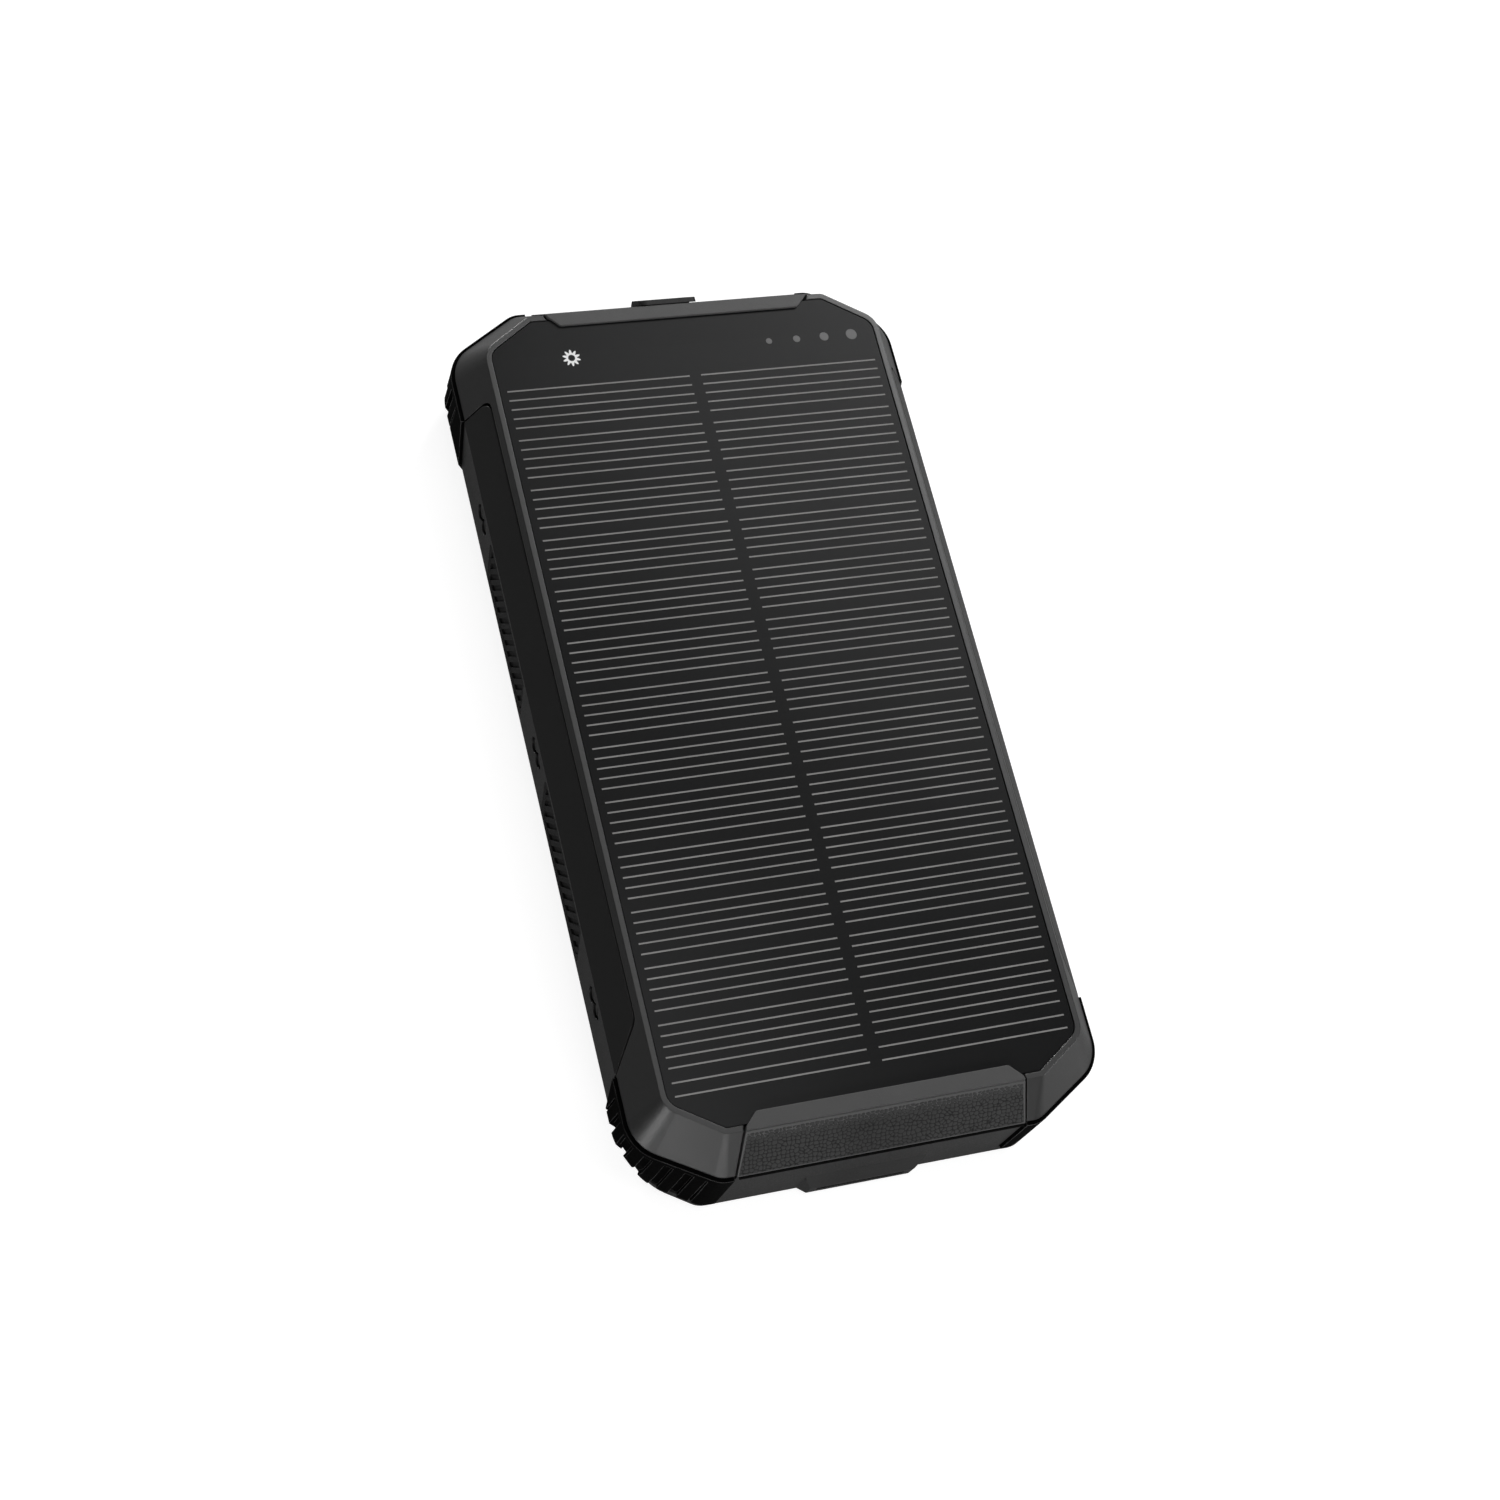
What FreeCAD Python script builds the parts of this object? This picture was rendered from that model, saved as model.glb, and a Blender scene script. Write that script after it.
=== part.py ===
import FreeCAD, Part
import math
import os

# Rugged solar phone charger: a power bank with a solar panel set in its front.
# Millimetres.  The charger lies on its back: +Z comes out of the solar panel, +Y points to the
# end with the sockets and the indicator dots, and the origin is the centre of its footprint,
# on the surface that the rest pads stand on.

# ---------------------------------------------------------------- driving dimensions
case_height = 24.0             # underside of the rest pads to the face of the bezel
pad_height = 1.2               # rest pads, below the back of the case
ridge_drop = 7.0               # bezel face down to the parting line, the widest level
wall_drop = 15.0               # bezel face down to the foot of the upright side walls
ridge_half_width = 40.8
ridge_half_length = 78.5
ridge_corner_run = (13.0, 7.8)     # cut corners: run across, run along
side_slope_run = 4.4           # the bevels between the bezel and the parting line
far_slope_run = 4.1
near_slope_run = 5.6
bezel_corner_run = (9.0, 5.9)
back_side_inset = 4.0          # the side walls fold in this far below their foot
end_flare = 0.5                # the end walls lean out this far at the back
bezel_corner_radii = (4.0, 1.6)    # at the side walls, at the end walls
ridge_corner_radii = (7.0, 4.0)
foot_corner_radii = (9.0, 4.0)

skin = 1.6                     # rails, guards and caps: the outer layer
wall = 3.4                     # outer layer, gap and structural wall together
floor_thickness = 1.8
seam = 0.36                    # visible gap round each outer piece
seat_gap = 0.05                # between faces that are clamped or glued together

# solar panel
bezel_land = 1.1               # flat of the bezel between its outer edge and the glass
glass_thickness = 1.2
glass_recess = 0.15
glass_clearance = 0.15
ledge = 1.6                    # how far the glass rests on the frame
deck_thickness = 1.45
cell_sheet_thickness = 0.25
cell_column_width = 33.0
cell_column_gap = 2.0
cell_area_far_margin = 13.5    # from the bezel's outer edges to the cells
cell_area_near_margin = 6.6
backing_thickness = 0.8
backing_margin = 1.2           # past the cells, at the far end

# indicator dots, in the glass
dot_radii = (0.57, 0.67, 0.84, 1.03)
first_dot_x = 15.2
dot_pitch = 5.25
dot_setback = 8.6              # from the bezel's far edge
dot_fit = 0.02
dot_sink = 0.02                # below the face of the glass
led_height = 0.75
led_size = 1.6
led_gap = 0.15                 # under the glass
indicator_board_width = 5.0
indicator_board_margins = (4.0, 1.6)   # past the first and the last dot
indicator_board_gap = 1.6      # from the cells

# end caps: half width on the glass side and at the parting line
near_cap_lap = 2.8             # over the panel's edge, from the bezel's outer edge
near_cap_half = (24.0, 25.4)
far_cap_lap = 2.4
far_cap_half = (24.2, 24.6)
cap_proud = 0.4
cap_corner = 2.2
cap_corner_radii = (0.8, 1.2)

# side rails: how far the seam lies below the bezel face, and how far each end stops short of
# the charger's end at the seam, at the ridge and at the foot
rail_seam_drop = 1.5
rail_far_setback = (19.0, 19.8, 24.0)
rail_near_setback = (26.7, 19.6, 16.9)
rail_corner_radius = 3.0

# ribbed grips let into the rails: far and near corners of the top edge, slant and height
grip_spans = ((9.4, 36.2), (-34.6, -7.5))
grip_slant = 3.2
grip_top_drop = 7.6
grip_height = 6.9
grip_depth = 0.9
grip_floor = 0.4
grip_border = 0.6
grip_corner_radius = 0.8
grip_rib_drop = 0.1            # ribs stop this far below the border
grip_ribs = 12
grip_rib_width = 1.0

# pairs of small screws that hold the rails
screw_pair_y = (41.3, -2.2, -46.0)
screw_head_gap = 0.5           # between the two heads of a pair
screw_drop = 9.6
screw_head_radius = 1.15
screw_head_height = 0.55
screw_head_sink = 0.3
screw_bore_gap = 0.33          # round each head, so that the two bores of a pair join
screw_shank_radius = 0.6
screw_length = 2.6
screw_slot = (0.35, 0.3)       # width, depth
screw_slot_turn = 50           # degrees from level

# corner guards with their treads
guard_groove_x = 25.5
guard_bottom_drop = 20.6
guard_proud = 0.5              # the treads stand this far outside the case
tread_depth = 0.8
tread_pitch = 3.55
tread_start = 1.5              # first block on the cut corner, from the side wall's end
tread_width = 2.0
tread_top_land = 1.2
corner_treads = 4              # on the cut corner
side_treads = 2                # on the side wall
sunk_side_reach = 2.4          # the sunk face runs this many pitches along the side wall
sunk_end_gap = 4.0             # and stops this far from the guard's inner end

# torch at the near end
torch_half_width = 10.6
torch_taper = 1.4
torch_proud = 1.1
torch_top_z = 8.2
torch_slot = (15.6, 1.3)       # width, height
torch_slot_z = 2.9
torch_lip = 1.4                # housing face above the slot's middle
torch_shoulder = 0.3           # how far the housing's top edge stands out
torch_lens_depth = 2.4
torch_lens_sink = 0.6
torch_led_size = (1.6, 0.7, 1.1)       # across, deep, high
torch_led_pitch = 5.2
torch_led_gap = 0.3
torch_board_thickness = 1.0
torch_board_margin = 1.5       # past the slot's ends
torch_board_z = (2.1, 7.0)
torch_board_fit = (0.2, 0.1)   # at its edges, at its faces

# socket cover at the far end, hinged along its foot
cover_half_width = 22.5
cover_top_drop = 7.6
cover_thickness = 1.3
cover_gap = 0.2
hinge_z = 5.2
hinge_setback = 1.1            # pin axis behind the end wall
hinge_pin_radius = 0.5
hinge_fit = 0.05
knuckle_radius = 1.0
knuckle_inner_x = 8.0
knuckle_margin = 2.5           # from the knuckles' outer ends to the cover's edge
pin_reach = 1.6                # the pin's ends, past the cover's edges
pocket_depth = 2.3
pocket_bottom_z = 3.6
cover_face_proud = 0.1
cover_corner_radius = 1.6
tab_half_width = 5.3
tab_thickness = 1.0
tab_gap = 0.15                 # over the far end cap, which the tab lies on
tab_top_drop = 3.4
tab_root_height = 2.0
tab_root_fillet = 0.3
tab_root_sink = 0.2
tab_corner_radius = 1.2
seal_thickness = 0.7
seal_margin = 1.2              # from the seal's ends to the cover's edge
seal_edge = (1.0, 0.8)         # below and above the sockets

# sockets and boards
board_thickness = 1.2
board_z = 8.0
board_half_width = 24.0
board_setback = 31.5           # from the far end to the board's near edge
board_wall_gap = 0.4
socket_a_x = 13.5
socket_a_shell = (13.2, 5.7, 14.0)     # width, height, length
socket_c_shell = (9.0, 3.3, 7.4)
socket_wall = 0.35
socket_fit = 0.15
socket_corner_radius = 0.5
socket_c_radius = 1.5
usb_c_riser_setback = 1.5
mouth_gap = 0.2                # from the sockets' mouths to the pocket's back wall
tongue_a = (11.0, 1.9, 2.0)            # width, height, distance behind the mouth
tongue_a_rise = 1.1                    # above the middle of its socket
tongue_c = (6.7, 0.7, 1.0)
standoff_radius = 2.2
standoff_x = 20.5
standoff_places_y = (3.5, 10.0)        # from the board's near edge
board_screw_radius = 0.8
board_screw_head = (1.7, 1.2)          # radius, height
board_screw_depth = 3.5
inductor_size = (7.2, 7.2, 4.2)
inductor_x = 9.5
inductor_setback = 3.0                 # from the board's near edge
inductor_corner_radius = 0.9
chip_boxes = (                         # left, right, near and far edge on the board, height
    (-2.8, 2.8, 3.4, 9.0, 0.9),
    (-3.6, 3.6, 11.0, 15.4, 1.1),
    (-20.0, -15.6, 1.0, 1.9, 1.1))

# power button in the right rail
button_y = 24.0
button_drop = 11.0
button_length = 11.0
button_width = 4.4
button_proud = 0.5
button_travel = 0.5
button_fit = 0.1
button_flange = 0.8
button_flange_thickness = 0.7
switch_size = (2.2, 6.0, 3.6)          # depth, along, high
switch_board_thickness = 1.0
switch_board_length = 16.0
switch_board_reach = (7.0, 3.6)        # below and above the button's axis
switch_pin_radius = 1.2
switch_pin_length = 0.4
button_edge_radius = 0.3

# battery: two flat cells, one on the other
cell_side_gap = 6.4            # from the cells to the side walls
cell_near_gap = 16.5           # from the cells to the near end
cell_board_gap = 3.0           # from the cells to the main board
cell_thickness = 7.5
cell_corner = 2.0
foam_thickness = 0.6
foam_width = 12.0
foam_margin = 8.0

# screws that clamp the back to the front frame
case_boss_setback = (8.5, 10.3)        # from the side and from the end
case_boss_radius = 3.0
case_screw_radius = 1.2
case_screw_head = (2.1, 1.3)
case_screw_length = 17.0
case_screw_sink = 0.4
case_screw_cross = (2.2, 0.5, 0.6)     # length, width and depth of the driver recess
case_screw_fit = 0.1
thread_fit = 0.02

# rest pads
pad_size = (8.0, 11.0)
pad_corner_radius = 2.0
pad_x = 21.5
pad_setback = 7.5              # from the end
pad_seat = 0.6

# cord seal in the parting line
seal_cord_width = 0.7
seal_cord_height = 0.93
seal_cord_inset = 0.5          # from the inside of the wall
seal_cord_fit = 0.03

# ---------------------------------------------------------------- derived levels and places
bezel_z = case_height
ridge_z = case_height - ridge_drop
wall_z = case_height - wall_drop
back_z = pad_height
floor_z = back_z + floor_thickness
glass_top_z = bezel_z - glass_recess
glass_z = glass_top_z - glass_thickness
deck_z = glass_z - deck_thickness
frame_z = ridge_z + seam / 2
shell_top_z = ridge_z - seam / 2
side_x = ridge_half_width
far_y = ridge_half_length
bezel_half_width = side_x - side_slope_run
bezel_far_y = far_y - far_slope_run
bezel_near_y = near_slope_run - far_y
near_cap_inner_y = bezel_near_y + near_cap_lap
far_cap_inner_y = bezel_far_y - far_cap_lap
rail_far_y = [far_y - setback for setback in rail_far_setback]
rail_near_y = [setback - far_y for setback in rail_near_setback]
cell_area_far_y = bezel_far_y - cell_area_far_margin
cell_area_near_y = bezel_near_y + cell_area_near_margin
dot_y = bezel_far_y - dot_setback
screw_pitch = 2 * screw_head_radius + screw_head_gap
knuckle_outer_x = cover_half_width - knuckle_margin
board_near_y = far_y - board_setback
case_boss_xy = (side_x - case_boss_setback[0], far_y - case_boss_setback[1])
pocket_y = far_y - pocket_depth
hinge_y = far_y - hinge_setback
BIG = 400.0


# ---------------------------------------------------------------- plain geometry
def box(x0, x1, y0, y1, z0, z1):
    """Box between two corners."""
    return Part.makeBox(x1 - x0, y1 - y0, z1 - z0, FreeCAD.Vector(x0, y0, z0))


def rod(radius, start, end):
    """Round bar from one point to another."""
    axis = FreeCAD.Vector(*end) - FreeCAD.Vector(*start)
    return Part.makeCylinder(radius, axis.Length, FreeCAD.Vector(*start), axis)


def inset_points(points, distance):
    """Convex outline, anticlockwise, with every side moved in by the distance."""
    lines = []
    for (ax, ay), (bx, by) in zip(points, points[1:] + points[:1]):
        length = math.hypot(bx - ax, by - ay)
        ux, uy = (bx - ax) / length, (by - ay) / length
        lines.append((ax - uy * distance, ay + ux * distance, ux, uy))
    moved = []
    for (px, py, ux, uy), (qx, qy, vx, vy) in zip(lines[-1:] + lines[:-1], lines):
        step = ((qx - px) * vy - (qy - py) * vx) / (ux * vy - uy * vx)
        moved.append((px + ux * step, py + uy * step))
    return moved


def rounded_wire(points, radii, place):
    """Closed wire through the points with a tangent arc at each corner.

    place turns a flat point into a vector, so the same outline can stand in any plane.
    """
    edges = []
    count = len(points)
    corners = []
    for i in range(count):
        corner = FreeCAD.Vector(*points[i], 0)
        back = (FreeCAD.Vector(*points[i - 1], 0) - corner).normalize()
        ahead = (FreeCAD.Vector(*points[(i + 1) % count], 0) - corner).normalize()
        half_turn = (math.pi - back.getAngle(ahead)) / 2
        reach = radii[i] * math.tan(half_turn)
        inward = (back + ahead).normalize()
        middle = corner + inward * (radii[i] / math.cos(half_turn) - radii[i])
        arc = (corner + back * reach, middle, corner + ahead * reach)
        corners.append([place(point.x, point.y) for point in arc])
    for i in range(count):
        before, after = corners[i], corners[(i + 1) % count]
        if radii[i] > 0:
            edges.append(Part.Arc(*before).toShape())
        edges.append(Part.LineSegment(before[2], after[0]).toShape())
    return Part.Wire(edges)


def prism(points, radii, z0, z1):
    """Upright prism on a rounded outline."""
    wire = rounded_wire(points, radii, lambda x, y: FreeCAD.Vector(x, y, z0))
    return Part.Face(wire).extrude(FreeCAD.Vector(0, 0, z1 - z0))


def side_prism(points, radii, x0, x1):
    """Prism along X on a rounded outline of (y, z) points."""
    wire = rounded_wire(points, radii, lambda y, z: FreeCAD.Vector(x0, y, z))
    return Part.Face(wire).extrude(FreeCAD.Vector(x1 - x0, 0, 0))


def mirror_x(shape):
    """The same piece on the other side of the charger."""
    return shape.mirror(FreeCAD.Vector(0, 0, 0), FreeCAD.Vector(1, 0, 0))


def both_sides(shape):
    """The shape and its mirror image, as a list."""
    return [shape, mirror_x(shape)]


def slab(z0, z1):
    """Everything between two levels."""
    return box(-BIG, BIG, -BIG, BIG, z0, z1)


# ---------------------------------------------------------------- the outer form
def cut_corner_outline(half_width, near_y, far_end_y, run):
    """Eight-sided outline, anticlockwise from the near right corner."""
    across, along = run
    right = [(half_width - across, near_y), (half_width, near_y + along),
             (half_width, far_end_y - along), (half_width - across, far_end_y)]
    left = [(-x, y) for x, y in reversed(right)]
    return right[1:] + left + right[:1]


bezel_outline = cut_corner_outline(bezel_half_width, bezel_near_y, bezel_far_y, bezel_corner_run)
ridge_outline = cut_corner_outline(side_x, -far_y, far_y, ridge_corner_run)
corner_slope = ridge_corner_run[1] / ridge_corner_run[0]
back_corner_across = ridge_corner_run[0] - back_side_inset
back_corner_run = (back_corner_across, back_corner_across * corner_slope + end_flare)
back_outline = cut_corner_outline(
    side_x - back_side_inset, -far_y - end_flare, far_y + end_flare, back_corner_run)
foot_lean = end_flare * (ridge_z - wall_z) / (ridge_z - back_z)
foot_outline = cut_corner_outline(side_x, -far_y - foot_lean, far_y + foot_lean, ridge_corner_run)


def corner_radii(inset, radii=bezel_corner_radii):
    """Corner radii of an outline that has been moved in, never quite sharp."""
    side = max(radii[0] - inset, 0.6)
    end = max(radii[1] - inset, 0.4)
    return [side, side, end, end, side, side, end, end]


def level_wire(outline, inset, z, radii):
    """One level of the outer form, moved in by the inset."""
    points = inset_points(outline, inset)
    return rounded_wire(points, corner_radii(inset, radii), lambda x, y: FreeCAD.Vector(x, y, z))


def form(inset, z0=back_z, z1=bezel_z):
    """The charger's outer form moved in all round, between two levels."""
    wires = [level_wire(bezel_outline, inset, bezel_z, bezel_corner_radii),
             level_wire(ridge_outline, inset, ridge_z, ridge_corner_radii),
             level_wire(foot_outline, inset, wall_z, foot_corner_radii),
             level_wire(back_outline, inset, back_z, foot_corner_radii)]
    return Part.makeLoft(wires, True, True).common(slab(z0, z1))


outer_layer = form(0).cut(form(skin))


def write(node, shape):
    """Write one node's STEP file; a list becomes a group of separate solids."""
    solids = [s for piece in (shape if isinstance(shape, list) else [shape]) for s in piece.Solids]
    result = solids[0] if len(solids) == 1 else Part.makeCompound(solids)
    result.exportStep("parts/" + node + ".step")


# ---------------------------------------------------------------- side rails
def rail_region(grow):
    """Outline of a rail seen from its side, as a prism through the wall; grow widens it."""
    top = bezel_z - rail_seam_drop + grow
    points = [
        (rail_near_y[2] - grow, wall_z - grow), (rail_far_y[2] + grow, wall_z - grow),
        (rail_far_y[1] + grow, ridge_z), (rail_far_y[0] + grow, top),
        (rail_near_y[0] - grow, top), (rail_near_y[1] - grow, ridge_z)]
    radii = [0, 0, 0, rail_corner_radius / 2, rail_corner_radius, 0]
    return side_prism(points, radii, bezel_half_width - wall, side_x + skin)


def grip_outline(span, grow):
    """Slanted four-sided outline of one grip, as (y, z) points."""
    top = bezel_z - grip_top_drop
    foot = top - grip_height
    near, far = span
    return [
        (near - grip_slant - grow, foot - grow), (far - grip_slant + grow, foot - grow),
        (far + grow, top + grow), (near - grow, top + grow)]


def grip(span):
    """Rubber grip: a thin plate with a raised border and slanted ribs."""
    face = side_x - seat_gap
    rounding = [grip_corner_radius] * 4
    back = face - grip_depth
    plate = side_prism(grip_outline(span, 0), rounding, back, back + grip_floor)
    rim = side_prism(grip_outline(span, 0), rounding, back, face)
    rim = rim.cut(side_prism(grip_outline(span, -grip_border), rounding, back - 1, face + 1))
    inside = side_prism(grip_outline(span, -grip_border), rounding, back, face)
    near, far = span
    pitch = (far - near) / (grip_ribs + 1)
    top = bezel_z - grip_top_drop
    foot = top - grip_height
    ribs = []
    for i in range(-1, grip_ribs + 3):
        low = near + pitch * i + grip_slant / 2
        high = low - grip_slant
        half = grip_rib_width / 2
        slanted = [(low - half, foot), (low + half, foot), (high + half, top), (high - half, top)]
        rib = side_prism(slanted, [0] * 4, back + grip_floor / 2, face - grip_rib_drop).common(inside)
        ribs.extend(s for s in rib.Solids)
    return plate.fuse([rim] + ribs).removeSplitter()


def screw_places(pairs):
    """(y, z) of each small rail screw; they sit in pairs."""
    z = bezel_z - screw_drop
    return [(y + side * screw_pitch / 2, z) for y in pairs for side in (-1, 1)]


def rail_screw(y, z):
    """Small screw with a slanted driver slot, its axis along X."""
    top = side_x - screw_head_sink
    under_head = top - screw_head_height
    head = rod(screw_head_radius, (under_head, y, z), (top, y, z))
    shank = rod(screw_shank_radius, (top - screw_length, y, z), (under_head, y, z))
    slot = Part.makeBox(2 * screw_slot[1], BIG, screw_slot[0],
                        FreeCAD.Vector(top - screw_slot[1], y - BIG / 2, z - screw_slot[0] / 2))
    slot.rotate(FreeCAD.Vector(top, y, z), FreeCAD.Vector(1, 0, 0), screw_slot_turn)
    return head.fuse(shank).cut(slot)


def screw_hole(y, z, fit):
    """Hole for a rail screw with its head's counterbore."""
    top = side_x - screw_head_sink
    under_head = top - screw_head_height - seat_gap
    bore = rod(screw_head_radius + screw_bore_gap, (under_head, y, z), (top + skin, y, z))
    shank = rod(screw_shank_radius + fit, (top - screw_length - fit, y, z), (top, y, z))
    return bore.fuse(shank)


def button_outline(grow):
    """Long round-ended outline of the power button, as (y, z) points and radii."""
    half_long = button_length / 2 + grow
    half_high = button_width / 2 + grow
    z = bezel_z - button_drop
    points = [(button_y - half_long, z - half_high), (button_y + half_long, z - half_high),
              (button_y + half_long, z + half_high), (button_y - half_long, z + half_high)]
    return points, [half_high - 0.01] * 4


def plain_rail(grips, pairs):
    """Right-hand rail: outer layer inside its outline, with grip pockets and screw holes."""
    rail = outer_layer.common(rail_region(0))
    for span in grips:
        pocket = side_prism(grip_outline(span, seat_gap), [grip_corner_radius] * 4,
                            side_x - grip_depth - 2 * seat_gap, side_x + 1)
        rail = rail.cut(pocket)
    return rail.cut([screw_hole(y, z, seat_gap) for y, z in screw_places(pairs)])


button_hole = side_prism(*button_outline(button_fit), side_x - skin - 1, side_x + 1)
flange_room = side_prism(
    *button_outline(button_flange + 2 * button_fit), side_x - wall - 1, side_x - skin)
right_grip_spans = grip_spans[1:]
left_rail = mirror_x(plain_rail(grip_spans, screw_pair_y))
right_rail = plain_rail(right_grip_spans, screw_pair_y).cut(button_hole)
left_grips = [mirror_x(grip(span)) for span in grip_spans]
right_grips = [grip(span) for span in right_grip_spans]
right_screws = [rail_screw(y, z) for y, z in screw_places(screw_pair_y)]
left_screws = [mirror_x(s) for s in right_screws]
rail_cuts = both_sides(rail_region(seam).common(form(-skin).cut(form(skin + seat_gap))))
screw_holes = [hole for y, z in screw_places(screw_pair_y)
               for hole in both_sides(screw_hole(y, z, seat_gap / 2))]


# ---------------------------------------------------------------- corner guards
def guard_region(grow, end):
    """Room of the right-hand guard at one end (+1 far, -1 near), as an upright block."""
    ridge_y = rail_far_y[1] if end > 0 else -rail_near_y[1]
    foot_y = rail_far_y[2] if end > 0 else -rail_near_y[2]
    start = seam - grow
    points = [(ridge_y + start, shell_top_z + grow), (foot_y + start, wall_z),
              (foot_y + start, back_z - 1), (far_y + skin, back_z - 1), (far_y + skin, shell_top_z + grow)]
    if end < 0:
        points = [(-y, z) for y, z in reversed(points)]
    side = side_prism(points, [0] * 5, guard_groove_x - grow, side_x + skin)
    return side.common(slab(bezel_z - guard_bottom_drop - grow, BIG))


def tread_blocks(end):
    """Tread blocks of the right-hand guard at one end, standing on its sunk face."""
    outline = ridge_outline
    side_corner, end_corner = (outline[1], outline[2]) if end > 0 else (outline[0], outline[-1])
    run = (end_corner[0] - side_corner[0], end_corner[1] - side_corner[1])
    length = math.hypot(*run)
    along = (run[0] / length, run[1] / length)
    out = (abs(along[1]), abs(along[0]) * end)
    top = shell_top_z - tread_top_land
    blocks = []
    half = tread_width / 2
    for i in range(corner_treads):
        at = tread_start + tread_pitch * i
        x, y = side_corner[0] + along[0] * at, side_corner[1] + along[1] * at
        points = [(x + along[0] * u + out[0] * v, y + along[1] * u + out[1] * v)
                  for u, v in ((half, -skin), (half, skin), (-half, skin), (-half, -skin))]
        if end > 0:
            points.reverse()
        blocks.append(prism(points, [0] * 4, back_z, top))
    for i in range(side_treads):
        y = side_corner[1] - end * tread_pitch * (i + 1)
        blocks.append(box(side_x - skin, side_x + skin, y - half, y + half, back_z, top))
    return blocks


def guard(end):
    """Rubber corner guard, right side: outer layer with its face sunk between the treads."""
    room = guard_region(0, end)
    solid = form(-guard_proud).cut(form(skin)).common(room)
    top = shell_top_z - tread_top_land
    sunk = form(-skin, back_z, top).cut(form(tread_depth - guard_proud, back_z, top))
    sunk = sunk.cut(box(-BIG, guard_groove_x + sunk_end_gap, -BIG, BIG, -BIG, BIG))
    start = far_y - ridge_corner_run[1] - sunk_side_reach * tread_pitch
    sunk = sunk.cut(box(-BIG, BIG, -start, start, -BIG, BIG))
    grooves = sunk.cut(tread_blocks(end))
    return solid.cut(grooves)


guards = {"far": guard(1), "near": guard(-1)}
guard_layer = form(-skin).cut(form(skin + seat_gap))
guard_cuts = [c for end in (1, -1) for c in both_sides(guard_region(seam, end).common(guard_layer))]


# ---------------------------------------------------------------- end caps
def cap_region(end, grow, z0, z1):
    """Upright prism over an end cap: narrow on the glass side, wider at the parting line."""
    inner_y, (inner_half, outer_half) = (
        (far_cap_inner_y, far_cap_half) if end > 0 else (-near_cap_inner_y, near_cap_half))
    inner_y -= grow
    inner_half += grow
    outer_half += grow
    points = [(inner_half - cap_corner, inner_y), (inner_half, inner_y + cap_corner),
              (outer_half, far_y + skin), (-outer_half, far_y + skin),
              (-inner_half, inner_y + cap_corner), (-inner_half + cap_corner, inner_y)]
    if end < 0:
        points = [(x, -y) for x, y in reversed(points)]
    return prism(points, [*cap_corner_radii, 0, 0, *reversed(cap_corner_radii)], z0, z1)


def end_cap(end):
    """Cap over one end: a band that laps the glass edge, and the sloping face below it."""
    top = bezel_z + cap_proud
    slope = form(-cap_proud / 2, frame_z, bezel_z).cut(form(skin, 0, bezel_z - skin))
    edge = bezel_far_y if end > 0 else -bezel_near_y
    band = box(-BIG, BIG, edge - BIG, edge, bezel_z - skin, top)
    rounded_edge = box(-BIG, BIG, edge, edge + BIG, bezel_z - skin, BIG)
    if end < 0:
        band = mirror_end(band)
        rounded_edge = mirror_end(rounded_edge)
    slope = slope.fuse(form(-cap_proud / 2, frame_z, bezel_z).common(rounded_edge))
    cap = slope.fuse(band).common(cap_region(end, 0, frame_z, top))
    under_glass = glass_room(glass_clearance).common(slab(0, glass_top_z + seat_gap))
    under_ledge = prism(inset_points(bezel_outline, bezel_land + glass_clearance),
                        corner_radii(bezel_land), deck_z - 1, glass_top_z + seat_gap)
    return cap.cut([under_glass, under_ledge])


def mirror_end(shape):
    """The same shape at the other end of the charger."""
    return shape.mirror(FreeCAD.Vector(0, 0, 0), FreeCAD.Vector(0, 1, 0))


def glass_room(clearance, z0=glass_z, z1=BIG):
    """Pocket of the solar glass, the bezel outline moved in by the bezel's flat."""
    inset = bezel_land - clearance
    return prism(inset_points(bezel_outline, inset), corner_radii(inset), z0, z1)


caps = {"far": end_cap(1), "near": end_cap(-1)}
cap_cuts = [
    cap_region(end, seam, frame_z - 1, BIG).common(
        form(-2, 0, BIG).cut(form(skin + seat_gap, 0, bezel_z - skin - seat_gap)))
    for end in (1, -1)]

# ---------------------------------------------------------------- solar panel
window_inset = bezel_land + ledge
window = prism(inset_points(bezel_outline, window_inset), corner_radii(window_inset), deck_z - 1, BIG)
panel_inset = window_inset + glass_clearance
solar_glass = glass_room(0, glass_z, glass_top_z)
cells_z = glass_z - cell_sheet_thickness
backing_z = cells_z - backing_thickness
column_x0 = cell_column_gap / 2
solar_cells = both_sides(
    box(column_x0, column_x0 + cell_column_width - 2 * column_x0, cell_area_near_y, cell_area_far_y,
        cells_z, glass_z))
panel_backing = prism(
    inset_points(bezel_outline, panel_inset), corner_radii(panel_inset), backing_z, cells_z).common(
    box(-BIG, BIG, -BIG, cell_area_far_y + backing_margin, 0, BIG))

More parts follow.
